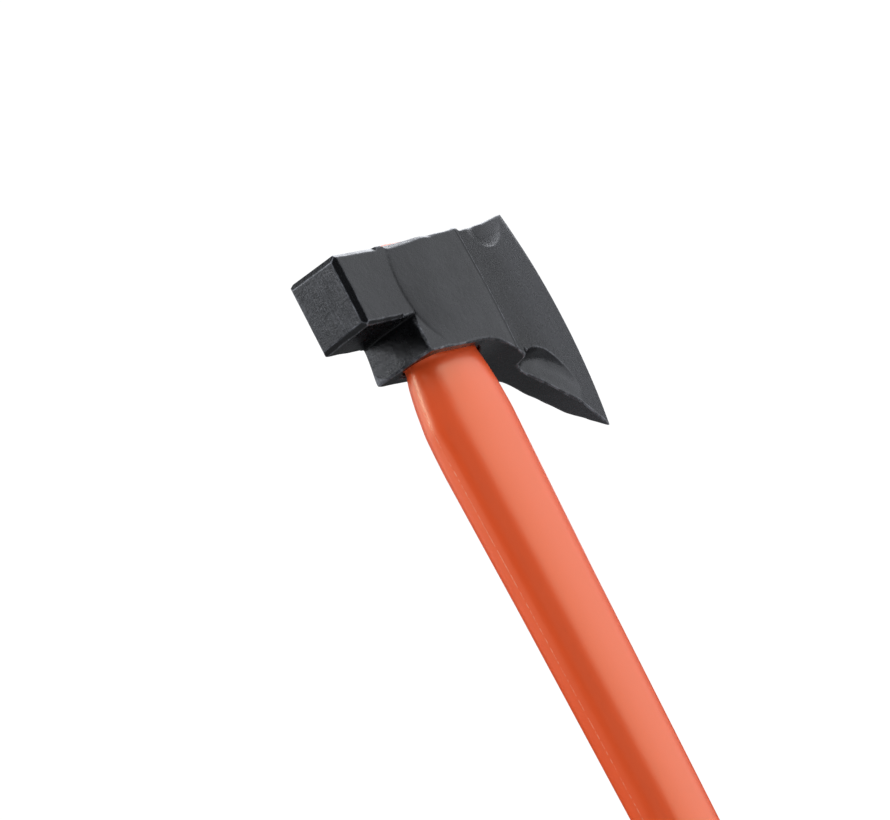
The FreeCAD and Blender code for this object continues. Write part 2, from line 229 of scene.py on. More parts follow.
def cheek_half(x, z, seed):
    """Half thickness of the forging at each place seen from the side.

    The poll steps up to the eye at a crease, the eye ends at the shoulder with a low ridge, and the
    blade tapers to the edge and holds the hollows.
    """
    crease = x - crease_line(z)
    step = np.where(crease > 0, 0.3 + 0.5 * (1 - np.exp(-np.maximum(crease, 0) / 0.9)),
                    0.3 * np.exp(np.minimum(crease, 0) / 5))
    swell = np.clip(crease / 34, 0, 1)
    poll = POLL_HALF + step + (CHEEK_HALF - POLL_HALF - 0.8) * (1 - (1 - swell) ** 2)
    lug = LUG_HALF + (CHEEK_HALF - LUG_HALF) * np.clip((x + 29.5) / 15, 0, 1)
    eye = lug + (poll - lug) * smooth_step((z + 2) / POLL_BOTTOM)
    shoulder = shoulder_line(z)
    eye = eye - 0.55 * smooth_step((x - shoulder + 7) / 7)
    eye = eye + 0.45 * np.exp(-(((x - shoulder + 0.7) / 0.8) ** 2))
    blade = SHOULDER_HALF - BLADE_SLOPE * (x - shoulder)
    blade = smooth_min(blade, EDGE_HALF + BEVEL_SLOPE * edge_distance(x, z), 0.5)
    blade = np.maximum(blade, 0.3)
    scoop_x, scoop_z, scoop_radius = TOP_SCOOP
    inside = np.maximum(scoop_radius - np.hypot(x - scoop_x, z - scoop_z), 0)
    dish = 1 - np.clip(1 - inside / TOP_SCOOP_WALL, 0, 1) ** 2
    blade = blade - TOP_SCOOP_DEPTH * smooth_step((x - 48) / 20) * dish
    inside = np.maximum(-outline_distance(x, z, through_points(LOW_SCOOP)), 0)
    above = z - BEARD_DROP * (x - BEARD_START)
    lip = WEB_LIP * smooth_step(1 - above / LIP_HEIGHT) * smooth_step((x - 40) / 26)
    web = WEB_HALF - 0.03 * (x - 50) + lip
    depth = np.maximum(blade - web, 0)
    blade = blade - depth * (1 - np.exp(-inside / (2.2 + 2.4 * smooth_step((x - 52) / 26))))
    half = eye + (blade - eye) * smooth_step((x - shoulder) / 0.7)
    forged = 0.14 * wobble(x, z, 19, seed) + 0.03 * wobble(x, z, 8, seed + 1)
    return half + forged * smooth_step((edge_distance(x, z) - 2) / 12)


def soften(field):
    """Blur a field over its neighbours in X and Z."""
    for axis in (0, 2):
        field = 0.5 * field + 0.25 * (np.roll(field, 1, axis) + np.roll(field, -1, axis))
    return field


def cheek_distance(x, y, z, pitch):
    """Distance to the nearer cheek, and the half thickness under it."""
    fields = []
    for seed in (11, 23):
        half = soften(cheek_half(x, z, seed))
        lean = np.sqrt(1 + np.gradient(half, pitch, axis=0) ** 2 + np.gradient(half, pitch, axis=2) ** 2)
        fields.append((half, soften(lean)))
    (near, near_lean), (far, far_lean) = fields
    half = np.where(y < 0, near, far)
    return (np.abs(y) - half) / np.where(y < 0, near_lean, far_lean), half


def poll_bottom(y):
    """The poll's underside, a little lower on the far side."""
    return POLL_BOTTOM - 0.04 * (y + POLL_HALF)


def rim_distance(x, y, z):
    """Distance to the outline seen from the side: top, underside, the poll's underside, lug and cutting
    edge.
    """
    rise = (TIP_Z - EYE_TOP) / (TIP_X - BIT_TOP_START)
    near_cheek = smooth_step((np.abs(y) - 15.5) / 3.5)
    shoulder_horn = 1.5 * np.exp(-(((x - 37.5) / 3.5) ** 2)) * near_cheek
    trim_line = (0.3 + 0.3 * wobble(x, 9 * np.sign(y), 9, 5)) * near_cheek
    trim_line = trim_line * smooth_step((x + 24) / 6)
    top = EYE_TOP + np.maximum(rise * (x - BIT_TOP_START), 0) + 0.1 * wobble(x, y, 12, 6)
    top = top + (shoulder_horn + trim_line) * smooth_step((42 - x) / 3)
    bottom = smooth_min(0, BEARD_DROP * (x - BEARD_START), 6) + 0.12 * wobble(x, y, 14, 7)
    lean = 5.0 * np.clip(z / POLL_BOTTOM, 0, 1) * (np.minimum(y, 0) / LUG_HALF) ** 2
    lug = LUG_BACK + 0.087 * np.maximum(-y, 0) + lean + 0.04 * z + 0.15 * wobble(y, z, 9, 8)
    under_poll = poll_bottom(y) + 0.2 * wobble(x, y, 10, 9) - z
    notch = smooth_min(under_poll, lug - x, 0.9)
    distance = smooth_max(z - top, (bottom - z) / math.hypot(1, BEARD_DROP), 0.5)
    distance = smooth_max(distance, notch, 1.2)
    return smooth_max(distance, -edge_distance(x, z), 0.4)


def poll_chamfers(x, y, z):
    """The chamfer round the striking face and the smaller ones along the poll, which fade out at the eye."""
    back = POLL_BACK - x
    side = np.abs(y) - POLL_HALF
    below = poll_bottom(y) - z
    above = z - EYE_TOP
    wear = 0.3 * wobble(x, y + z, 7, 12)
    ring = np.maximum(below, above + 0.9) + FACE_CHAMFER
    cheek = back / SIDE_CHAMFER + side / FACE_CHAMFER + 1
    cheek = cheek / math.hypot(1 / SIDE_CHAMFER, 1 / FACE_CHAMFER)
    fade = 5 * smooth_step((x + 29) / 5) + 10 * np.maximum(x + 24, 0)
    lower = side + below + 1.6 + wear - 12 * np.maximum(x - LUG_BACK + 2, 0)
    upper = side + above + 2.4 + 0.5 * wear - fade
    diagonal = np.maximum(np.maximum(back + ring, lower), upper) / math.sqrt(2)
    return np.maximum(np.maximum(back, cheek), diagonal)


def top_bevel(x, y, z):
    """The trimmed edge along the top of the eye's cheeks, wide in places and gone in others."""
    leg = 1.9 + 1.3 * wobble(x, 31 * np.sign(y), 13, 41) - 2.6 * smooth_step((x - 12) / 8)
    leg = np.clip(leg, 0, 3) * smooth_step((x + 25) / 5) - 10 * np.maximum(x - 42, 0)
    half = POLL_HALF + (CHEEK_HALF - POLL_HALF) * smooth_step((x + 26) / 30)
    return (np.abs(y) - half + z - EYE_TOP + leg) / math.sqrt(2)


def eye_distance(x, y, z):
    """Distance to the flared stadium hole, positive inside the hole."""
    flare = (z - EYE_MOUTH_Z) * EYE_FLARE
    straight = EYE_REACH - EYE_HALF
    return EYE_HALF + flare - np.hypot(np.maximum(np.abs(x) - straight, 0), y)


def head_distance(x, y, z, pitch):
    """Signed distance to the whole forging."""
    cheek, half = cheek_distance(x, y, z, pitch)
    rough = 1 + 0.5 * wobble(x, z + 60 * np.sign(y), 6, 15)
    distance = smooth_max(cheek, rim_distance(x, y, z), np.clip(0.6 * half, 0.2, 1.4) * rough)
    distance = smooth_max(distance, poll_chamfers(x, y, z), 0.4)
    distance = smooth_max(distance, top_bevel(x, y, z), 0.3)
    return smooth_max(distance, eye_distance(x, y, z), 1.6)


def read_grid(points, axes, values):
    """Values of a grid between its own places, from the eight around each point."""
    starts = [axis[0] for axis in axes]
    steps = [axis[1] - axis[0] for axis in axes]
    spots = (points - starts) / steps
    cells = np.clip(np.floor(spots).astype(int), 0, np.array(values.shape[:3]) - 2)
    share = spots - cells
    found = 0
    for corner in np.ndindex(2, 2, 2):
        weight = np.prod(np.where(corner, share, 1 - share), axis=1)[:, None]
        found = found + weight * values[tuple((cells + corner).T)]
    return found


def settle(points, axes, field, slopes):
    """Bring points that lie near a field's surface onto it."""
    for _ in range(3):
        normals = read_grid(points, axes, slopes)
        lean = np.linalg.norm(normals, axis=1)[:, None] + 1e-6
        move = np.clip(read_grid(points, axes, field[..., None]) / lean, -0.2, 0.2)
        points = points - normals / lean * move
    return np.clip(points, HEAD_LOW, HEAD_HIGH)


def inset_corners(mesh):
    """A point a little inside its face for every face corner.

    What is read there belongs to that face, so an edge's look keeps off the flats beside it.
    """
    points = np.empty(3 * len(mesh.vertices))
    mesh.vertices.foreach_get("co", points)
    middles = np.empty(3 * len(mesh.polygons))
    mesh.polygons.foreach_get("center", middles)
    totals = np.empty(len(mesh.polygons), int)
    mesh.polygons.foreach_get("loop_total", totals)
    corners = np.empty(len(mesh.loops), int)
    mesh.loops.foreach_get("vertex_index", corners)
    points = points.reshape(-1, 3)[corners] / MM
    inward = np.repeat(middles.reshape(-1, 3), totals, axis=0) / MM - points
    length = np.linalg.norm(inward, axis=1)[:, None] + 1e-9
    return points + inward * np.minimum(0.4, 0.8 / length)


def set_normals(mesh, corners, axes, slopes):
    """Shade a mesh by the slope of the field it was read from."""
    normals = read_grid(corners, axes, slopes)
    normals = normals / np.linalg.norm(normals, axis=1)[:, None]
    mesh.normals_split_custom_set(normals.tolist())


def mark_edges(mesh, corners, axes, slopes):
    """Note how sharply the surface bends outwards at each corner, for the material's worn edges, which also
    carry a painted highlight.
    """
    bend = sum(np.gradient(slopes[..., way], axis[1] - axis[0], axis=way)
               for way, axis in enumerate(axes))
    edge_wear_and_glint = np.clip(read_grid(corners, axes, bend[..., None])[:, 0] - 0.15, 0, 1)
    mesh.attributes.new("edge_wear_and_glint", "FLOAT", "CORNER").data.foreach_set("value", edge_wear_and_glint)


def build_head(pitch=(0.4, 0.35, 0.4), most_faces=190000):
    """The forging as a mesh, read off its distance field."""
    margin = 3.0
    sides = math.ceil((HEAD_HIGH.y + margin) / pitch[1])
    axes = [np.arange(HEAD_LOW.x - margin, HEAD_HIGH.x + margin, pitch[0]),
            np.arange(-sides, sides + 1) * pitch[1],
            np.arange(HEAD_LOW.z - margin, HEAD_HIGH.z + margin, pitch[2])]
    x, y, z = np.meshgrid(*axes, indexing="ij", sparse=True)
    distance = head_distance(x, y, z, pitch[0]).astype(np.float32)
    slopes = np.stack(np.gradient(distance, *pitch), -1)
    grid = openvdb.FloatGrid(3.0)
    grid.copyFromArray(np.ascontiguousarray(np.clip(distance, -3, 3)))
    points, quads = grid.convertToQuads(0.0)
    points = points * np.array(pitch) + np.array([axis[0] for axis in axes])
    points = settle(points, axes, distance, slopes)
    head = add_mesh("axe_head_forging", points, quads.tolist())
    thin = head.modifiers.new("thin", "DECIMATE")
    thin.ratio = min(1.0, most_faces / (2 * len(quads)))
    bake_modifiers(head)
    places = np.empty(3 * len(head.data.vertices))
    head.data.vertices.foreach_get("co", places)
    places = settle(places.reshape(-1, 3) / MM, axes, distance, slopes)
    head.data.vertices.foreach_set("co", (places * MM).ravel())
    head.data.update()
    corners = inset_corners(head.data)
    set_normals(head.data, corners, axes, slopes)
    mark_edges(head.data, corners, axes, slopes)
    return head


# ---------------------------------------------------------------- handle

TENON_TOP = box_mm("handle_jacket")[1].z
GRIP_TOP = box_mm("grip_sleeve")[1].z
SEAT_END = box_mm("handle_jacket")[0].z
# Reach to the back, reach to the front and half width of the seat inside the grip and the cap.
SEAT = (17.2, 16.2, 11.5)
# Height, reach to the back, reach to the front and half width of the handle's sections.
HANDLE = [
    (TENON_TOP, 25.0, 25.0, 12.3),
    (0.0, 25.0, 25.0, 12.3),
    (-8.0, 27.8, 25.2, 14.1),
    (-20.0, 30.6, 25.6, 15.5),
    (-34.0, 33.1, 26.0, 16.1),
    (-130.0, 29.2, 22.8, 15.4),
    (-300.0, 24.0, 19.6, 14.6),
    (GRIP_TOP, 19.5, 18.5, 13.8),
]
# How square the oval sections are: 2 is an ellipse, and more is squarer.
FRONT_POWER = 2.8
BACK_POWER = 2.45
NECK_BACK_POWER = 2.12
TENON_POWER = 3.4


def section_at(z):
    """The handle's section at a height, with its knees rounded over."""
    heights, *sizes = zip(*reversed(HANDLE))
    reach = min(3.5, 1.5 + 0.2 * abs(z))
    nearby = z + np.linspace(-reach, reach, 9)
    nearby = np.where(nearby > 0, max(z, 0), nearby)
    return [float(np.interp(nearby, heights, size).mean()) for size in sizes]


def oval_ring(z, back, front, half, seam=0.0, around=104):
    """Points round a rounded oval, spaced by turning, with a raised mould seam front and back.

    The back is rounder near the head, and the tenon fuller all round.
    """
    tenon = float(smooth_step(z / 4))
    front_power = FRONT_POWER + (TENON_POWER - FRONT_POWER) * tenon
    back_power = BACK_POWER + (NECK_BACK_POWER - BACK_POWER) * float(smooth_step((z + 60) / 35))
    back_power = back_power + (TENON_POWER - back_power) * tenon
    turn = np.linspace(0, 2 * math.pi, around, endpoint=False)
    turn = turn[np.abs(np.sin(turn)) > 0.04]
    cosine, sine = np.cos(turn), np.sin(turn)
    power = np.where(cosine > 0, front_power, back_power)
    lean = 1 / (power - 1)
    reach = np.where(cosine > 0, front, back)
    along = np.sign(cosine) * (np.abs(cosine) * reach) ** lean
    across = np.sign(sine) * (np.abs(sine) * half) ** lean
    size = (np.abs(along / reach) ** power + np.abs(across / half) ** power) ** (1 / power)
    sides = np.column_stack([along / size, across / size])
    offsets = np.array([-0.7, -0.35, -0.15, 0.0, 0.15, 0.35, 0.7])
    ridge = seam * np.array([0, 0.1, 0.8, 1, 0.8, 0.1, 0])
    nose = front * (1 - np.abs(offsets / half) ** front_power / front_power) + ridge
    tail = back * (1 - np.abs(offsets / half) ** back_power / back_power) + ridge
    nose = np.column_stack([nose, offsets])
    tail = np.column_stack([-tail, -offsets])
    first = turn < math.pi
    ring = np.concatenate([nose, sides[first], tail, sides[~first]])
    return np.column_stack([ring, np.full(len(ring), z)])


def build_jacket():
    """The orange moulding, from its tenon's top to the end of the seat inside the grip and cap."""
    heights = np.concatenate([
        [TENON_TOP, TENON_TOP - 0.2, TENON_TOP - 0.5, TENON_TOP - 0.9, TENON_TOP - 1.5],
        np.arange(TENON_TOP - 6, 1, -6),
        np.arange(0, -60, -2.0),
        np.arange(-60, GRIP_TOP, -5.0),
        [GRIP_TOP + 0.8, GRIP_TOP + 0.2, GRIP_TOP],
    ])
    rings = []
    for z in heights:
        back, front, half = section_at(z)
        tuck = 1.3 * max(0.0, 1 - (TENON_TOP - z) / 1.5) ** 2
        tuck = tuck + 0.4 * max(0.0, 1 - (z - GRIP_TOP) / 0.8) ** 2
        seam = 0.06 + 0.04 * float(wobble(z, 0.0, 4, 31)) if z < 1 else 0.0
        rings.append(oval_ring(z, back - tuck, front - tuck, half - tuck, seam=seam))
    core_high = box_mm("handle_core")[1]
    rim = oval_ring(TENON_TOP, core_high.x, core_high.x, core_high.y)
    deep = rim - np.array([0, 0, 6])
    seat = [oval_ring(z, *SEAT) for z in (GRIP_TOP, SEAT_END)]
    rings = [deep, rim] + rings + seat
    jacket = add_mesh("handle_jacket_moulding", np.concatenate(rings), skin_rings(rings, ends=True))
    drill_hang_hole(jacket)
    return jacket


# ---------------------------------------------------------------- grip, butt cap and eyelet

CAP_LOW, CAP_HIGH = box_mm("butt_cap")
# Height, reach to the back and reach to the front down the cap.
CAP_FLARE = [
    (CAP_HIGH.z, 19.5, 18.5),
    (CAP_HIGH.z - 20, 20.6, 18.9),
    (CAP_LOW.z + 12, 25.2, 20.2),
    (CAP_LOW.z, 26.0, 20.5),
]
EYELET_LOW, EYELET_HIGH = box_mm("hang_eyelet")
WASHER_LOW, WASHER_HIGH = box_mm("eyelet_washer")
HOLE_X = (EYELET_LOW.x + EYELET_HIGH.x) / 2
HOLE_Z = (EYELET_LOW.z + EYELET_HIGH.z) / 2
# Inner and outer radius of the eyelet's barrel.
BORE = 5.5
BARREL = 6.3


def turned_ring(name, profile, steps=72):
    """A ring turned about the hang hole; profile goes round it as pairs of radius and Y."""
    turns = np.linspace(0, 2 * math.pi, steps, endpoint=False)
    rings = [np.column_stack([HOLE_X + radius * np.cos(turns), np.full(steps, y),
                              HOLE_Z + radius * np.sin(turns)])
             for radius, y in profile]
    return add_mesh(name, np.concatenate(rings), skin_rings(rings, closed=True))


def drill_hang_hole(piece):
    """Cut the eyelet barrel's hole through a piece."""
    profile = [(0.01, -20), (BARREL, -20), (BARREL, 20), (0.01, 20)]
    drill = turned_ring("drill", profile, steps=48)
    cut = piece.modifiers.new("cut", "BOOLEAN")
    cut.operation = "DIFFERENCE"
    cut.object = drill
    bake_modifiers(piece)
    bpy.data.objects.remove(drill)


def build_grip():
    """The rubber sleeve, with a plain collar at each end and slanting ribs between."""
    low, high = box_mm("grip_sleeve")
    rings = []
    for z in np.arange(high.z, low.z - 0.01, -0.8):
        from_end = min(high.z - z, z - low.z)
        edge = 1.2 * (1 - math.sqrt(1 - max(0.0, 1 - from_end / 1.2) ** 2))
        ring = oval_ring(z, -low.x - edge, high.x - edge, high.y - edge)
        slant = z + 7 * np.abs(ring[:, 0]) / high.x
        groove = smooth_step((np.cos(slant * 2 * math.pi / 7.5) - 0.1) / 0.7)
        zone = float(smooth_step((from_end - 14) / 3))
        collar = 0.5 * math.exp(-(((from_end - 10) / 1.2) ** 2))
        inset = 1.0 * groove * zone + collar
        ring[:, 0] -= inset * ring[:, 0] / np.hypot(ring[:, 0], ring[:, 1] * 1.5)
        ring[:, 1] -= inset * ring[:, 1] / np.hypot(ring[:, 0] / 1.5, ring[:, 1])
        rings.append(ring)
    rings = [oval_ring(low.z, *SEAT), oval_ring(high.z, *SEAT)] + rings
    return add_mesh("grip_sleeve_ribbed", np.concatenate(rings), skin_rings(rings, closed=True))


def build_cap():
    """The butt cap, flared to the end and rounded over, with a drilled hang hole."""
    heights, backs, fronts = zip(*reversed(CAP_FLARE))
    levels = np.concatenate([[CAP_HIGH.z, CAP_HIGH.z - 0.3, CAP_HIGH.z - 0.8],
                             np.arange(CAP_HIGH.z - 2, CAP_LOW.z + 5, -1.0),
                             CAP_LOW.z + 4 - 4 * np.sin(np.linspace(0, HALF_PI, 10))])
    rings = [oval_ring(CAP_HIGH.z, *SEAT)]
    for z in levels:
        shoulder = 0.8 * (1 - math.sqrt(1 - max(0.0, 1 - (CAP_HIGH.z - z) / 0.8) ** 2))
        round_over = 4 * (1 - math.sqrt(1 - min(1.0, max(0.0, 1 - (z - CAP_LOW.z) / 4)) ** 2))
        groove = 0.6 * sum(math.exp(-(((z - CAP_HIGH.z + below) / 0.8) ** 2)) for below in (5, 9, 13))
        inset = shoulder + round_over + groove
        back = float(np.interp(z, heights, backs)) - inset
        front = float(np.interp(z, heights, fronts)) - inset
        rings.append(oval_ring(z, back, front, CAP_HIGH.y - inset))
    sole = rings[-1]
    for share, hollow in ((0.93, 0.0), (0.88, 0.5), (0.3, 0.6)):
        rings.append(sole * np.array([share, share, 1]) + np.array([0, 0, hollow]))
    cap = add_mesh("butt_cap_moulding", np.concatenate(rings), skin_rings(rings, ends=True))
    drill_hang_hole(cap)
    return cap


def build_eyelet():
    """A rolled flange at one end of the barrel and a curl over the washer at the other."""
    near, far = EYELET_LOW.y, EYELET_HIGH.y
    flange = EYELET_HIGH.x - HOLE_X
    bend = np.linspace(0, HALF_PI, 7)
    mouth = [(BORE + 1.2 * (1 - math.cos(t)), near + 1.2 - 1.2 * math.sin(t)) for t in bend]
    lip = [(flange - 0.6 + 0.6 * math.sin(t), near + 0.6 - 0.6 * math.cos(t))
           for t in np.linspace(0, math.pi, 9)]
    curl = [(BORE + 0.9 * (1 - math.cos(t)), far - 0.9 + 0.9 * math.sin(t)) for t in bend]
    profile = mouth + lip + [(BARREL, near + 1.2), (BARREL, far - 0.5)] + curl[::-1]
    return turned_ring("hang_eyelet_rolled", profile)


def build_washer():
    """The washer the eyelet is curled over."""
    low, high = WASHER_LOW.y, WASHER_HIGH.y
    outer = WASHER_HIGH.x - HOLE_X
    edge = 0.3
    profile = [(BARREL, low), (BARREL, high)]
    profile += [(outer - edge + edge * math.sin(t), high - edge + edge * math.cos(t))
                for t in np.linspace(0, HALF_PI, 5)]
    profile += [(outer, low + edge), (outer - edge, low)]
    return turned_ring("eyelet_washer_turned", profile)


# ---------------------------------------------------------------- materials

def new_material(name):
    """A material with its node tree and its shader."""
    material = bpy.data.materials.new(name)
    material.use_nodes = True
    tree = material.node_tree
    return material, tree, tree.nodes["Principled BSDF"]


def add_noise(tree, scale, detail=4.0, roughness=0.5, stretch=(1, 1, 1)):
    """Noise in the object's own metres; stretch lengthens its grain along an axis."""
    coordinates = tree.nodes.new("ShaderNodeTexCoord")
    mapping = tree.nodes.new("ShaderNodeMapping")
    mapping.inputs["Scale"].default_value = [1 / way for way in stretch]
    noise = tree.nodes.new("ShaderNodeTexNoise")
    noise.inputs["Scale"].default_value = scale
    noise.inputs["Detail"].default_value = detail
    noise.inputs["Roughness"].default_value = roughness
    tree.links.new(coordinates.outputs["Object"], mapping.inputs["Vector"])
    tree.links.new(mapping.outputs["Vector"], noise.inputs["Vector"])
    return noise.outputs["Fac"]


def map_range(tree, value, low, high, start=0.3, end=0.7):
    """The value moved from start and end to low and high, and held there beyond them."""
    node = tree.nodes.new("ShaderNodeMapRange")
    node.inputs["From Min"].default_value = start
    node.inputs["From Max"].default_value = end
    node.inputs["To Min"].default_value = low
    node.inputs["To Max"].default_value = high
    tree.links.new(value, node.inputs["Value"])
    return node.outputs["Result"]


def mix_colours(tree, share, first, second):
    """From the first colour to the second as the share rises; a colour is a tuple or a socket."""
    node = tree.nodes.new("ShaderNodeMix")
    node.data_type = "RGBA"
    tree.links.new(share, node.inputs["Factor"])
    for socket, colour in zip(("A", "B"), (first, second)):
        target = next(s for s in node.inputs if s.name == socket and s.type == "RGBA")
        if isinstance(colour, tuple):
            target.default_value = (*colour, 1)
        else:
            tree.links.new(colour, target)
    return next(s for s in node.outputs if s.type == "RGBA")


def add_bump(tree, shader, height, distance, strength=1.0):
    """Fine relief over the surface, distance metres deep where height is 1."""
    bump = tree.nodes.new("ShaderNodeBump")
    bump.inputs["Distance"].default_value = distance
    bump.inputs["Strength"].default_value = strength
    tree.links.new(height, bump.inputs["Height"])
    tree.links.new(bump.outputs["Normal"], shader.inputs["Normal"])


def blend_values(tree, operation, first, second):
    """Two values put together by a math node; either may be a number."""
    node = tree.nodes.new("ShaderNodeMath")
    node.operation = operation
    for socket, value in zip(node.inputs, (first, second)):
        if isinstance(value, float):
            socket.default_value = value
        else:
            tree.links.new(value, socket)
    return node.outputs["Value"]


def coated_steel():
    """Black coating over a forged skin.

    It is cloudy and a little scuffed, brushed on the striking face, paler towards the ground edge, and
    rubbed off along the outer edges, where the paler colour is partly a painted highlight on the rounded
    edges.
    """
    material, tree, shader = new_material("coated_forged_steel")
    shader.inputs["Specular IOR Level"].default_value = 0.38
    clouds = map_range(tree, add_noise(tree, 34, 6, 0.6), 0.0, 1.0, 0.36, 0.68)
    coating = mix_colours(tree, clouds, (0.0016, 0.0017, 0.002), (0.009, 0.0094, 0.0104))
    specks = map_range(tree, add_noise(tree, 1100, 6, 0.75), 0.0, 1.0, 0.56, 0.78)
    patches = map_range(tree, add_noise(tree, 45, 3), 0.0, 1.0, 0.42, 0.66)
    scuffs = blend_values(tree, "MULTIPLY", specks, patches)
    coating = mix_colours(tree, scuffs, coating, (0.03, 0.031, 0.034))
    coordinates = tree.nodes.new("ShaderNodeTexCoord")
    place = tree.nodes.new("ShaderNodeSeparateXYZ")
    tree.links.new(coordinates.outputs["Object"], place.inputs["Vector"])
    on_face = map_range(tree, place.outputs["X"], 1.0, 0.0, -0.0636, -0.0632)
    brushing = map_range(tree, add_noise(tree, 1400, 4, 0.7, (1, 1, 14)), 0.1, 1.0, 0.48, 0.74)
    brushed = blend_values(tree, "MULTIPLY", on_face, brushing)
    coating = mix_colours(tree, brushed, coating, (0.06, 0.062, 0.068))
    ground = map_range(tree, place.outputs["X"], 0.0, 1.0, 0.06, 0.09)
    coating = mix_colours(tree, ground, coating, (0.023, 0.0235, 0.026))
    # Pale colour along convex edges: rubbed-off coating, and partly a painted highlight that the rounded
    # edges would catch.
    edges = tree.nodes.new("ShaderNodeAttribute")
    edges.attribute_name = "edge_wear_and_glint"
    wear_and_glint_patches = map_range(tree, add_noise(tree, 260, 5, 0.7), 0.2, 1.0, 0.42, 0.62)
    edge_wear_and_glint = map_range(tree, edges.outputs["Fac"], 0.0, 1.0, 0.1, 0.9)
    wear_and_glint_patches = blend_values(tree, "MULTIPLY", edge_wear_and_glint, wear_and_glint_patches)
    coating = mix_colours(tree, wear_and_glint_patches, coating, (0.17, 0.175, 0.19))
    tree.links.new(coating, shader.inputs["Base Color"])
    roughness = map_range(tree, add_noise(tree, 110, 8, 0.65), 0.2, 0.33)
    roughness = blend_values(tree, "ADD", roughness, blend_values(tree, "MULTIPLY", on_face, 0.06))
    tree.links.new(roughness, shader.inputs["Roughness"])
    fine = map_range(tree, add_noise(tree, 1000, 4, 0.6), 0.0, 0.25, 0.2, 0.8)
    skin = blend_values(tree, "ADD", fine, add_noise(tree, 260, 5, 0.65))
    add_bump(tree, shader, skin, 0.00024, 1.0)
    return material


def orange_plastic():
    """Glossy moulded plastic with a painted highlight in its colour along the parting line in the plane Y =
    0.
    """
    material, tree, shader = new_material("orange_moulded_plastic")
    shader.inputs["Specular IOR Level"].default_value = 1.1
    shader.inputs["Specular Tint"].default_value = (1.0, 0.94, 0.63, 1)
    colour = mix_colours(tree, add_noise(tree, 25), (0.94, 0.1, 0.021), (0.97, 0.109, 0.025))
    coordinates = tree.nodes.new("ShaderNodeTexCoord")
    place = tree.nodes.new("ShaderNodeSeparateXYZ")
    tree.links.new(coordinates.outputs["Object"], place.inputs["Vector"])
    # Painted highlight: a pale streak mixed into the orange along the seam at Y = 0, broken up by noise.
    off_centre = blend_values(tree, "ABSOLUTE", place.outputs["Y"], 0.0)
    on_seam = map_range(tree, off_centre, 1.0, 0.0, 0.00015, 0.0004)
    wear_and_glint_patches = map_range(tree, add_noise(tree, 350, 4, 0.6), 0.0, 0.6, 0.42, 0.62)
    colour = mix_colours(tree, blend_values(tree, "MULTIPLY", on_seam, wear_and_glint_patches), colour, (1.0, 0.4, 0.24))
    tree.links.new(colour, shader.inputs["Base Color"])
    roughness = map_range(tree, add_noise(tree, 40, 3), 0.27, 0.34, 0.0, 1.0)
    tree.links.new(roughness, shader.inputs["Roughness"])
    add_bump(tree, shader, add_noise(tree, 500, 5, 0.6), 0.00004, 0.8)
    return material


def plain_node_material(name, dark, light, roughness, grain, metallic=0.0):
    """A surface mottled between two colours, with grain bumps to the metre."""
    material, tree, shader = new_material(name)
    shader.inputs["Metallic"].default_value = metallic
    tree.links.new(mix_colours(tree, add_noise(tree, grain), dark, light), shader.inputs["Base Color"])
    tree.links.new(map_range(tree, add_noise(tree, grain * 2), roughness - 0.05, roughness + 0.05),
                   shader.inputs["Roughness"])
    add_bump(tree, shader, add_noise(tree, grain * 4), 0.0001, 0.4)
    return material


# ---------------------------------------------------------------- studio

VIEW_AZIMUTH = math.radians(54.216)
VIEW_ELEVATION = math.radians(-10.653)
VIEW_ROLL = math.radians(-27.35)
VIEW_DISTANCE = 2.5
SENSOR_WIDTH = 36.0
# How wide a strip of the object's plane the picture takes in.
FRAME_WIDTH = 0.445
# Where the frame's centre lies from the origin, along the picture's right and up.
FRAME_SHIFT = (0.00245, -0.02405)


def picture_axes():
    """The picture's right and up, and the way from the object to the camera."""
    back = Vector((-math.sin(VIEW_AZIMUTH) * math.cos(VIEW_ELEVATION),
                   -math.cos(VIEW_AZIMUTH) * math.cos(VIEW_ELEVATION),
                   math.sin(VIEW_ELEVATION)))
    level = (-back).cross(Vector((0, 0, 1))).normalized()
    upright = level.cross(-back)
    right = math.cos(VIEW_ROLL) * level + math.sin(VIEW_ROLL) * upright
    return right, back.cross(right), back


def add_camera():
    """The picture's camera, aimed beside the origin without a lens shift."""
    right, up, back = picture_axes()
    camera = bpy.data.objects.new("camera", bpy.data.cameras.new("camera"))
    camera.data.sensor_width = SENSOR_WIDTH
    camera.data.lens = SENSOR_WIDTH * VIEW_DISTANCE / FRAME_WIDTH
    place = back * VIEW_DISTANCE + right * FRAME_SHIFT[0] + up * FRAME_SHIFT[1]
    turn = Matrix((right, up, back)).transposed().to_4x4()
    camera.matrix_world = Matrix.Translation(place) @ turn
    scene.collection.objects.link(camera)
    scene.camera = camera


def add_softbox(name, azimuth, elevation, width, height, radiance, distance=2.0, mirrored=True):
    """A soft rectangular light facing the head, placed and sized in degrees as seen from the head.

    Azimuth runs from +X towards +Y. Radiance is the brightness of the light's face. A light that isn't
    mirrored shows in no reflection.
    """
    sizes = [2 * distance * math.tan(math.radians(span / 2)) for span in (width, height)]
    data = bpy.data.lights.new(name, "AREA")
    data.shape = "RECTANGLE"
    data.size, data.size_y = sizes
    data.energy = radiance * math.pi * sizes[0] * sizes[1]
    data.color = COOL_WHITE
    light = bpy.data.objects.new(name, data)
    around, rise = math.radians(azimuth), math.radians(elevation)
    way = Vector((math.cos(around) * math.cos(rise), math.sin(around) * math.cos(rise), math.sin(rise)))
    light.location = way * distance
    light.rotation_euler = way.to_track_quat("Z", "Y").to_euler()
    light.visible_camera = False
    light.visible_glossy = mirrored
    scene.collection.objects.link(light)


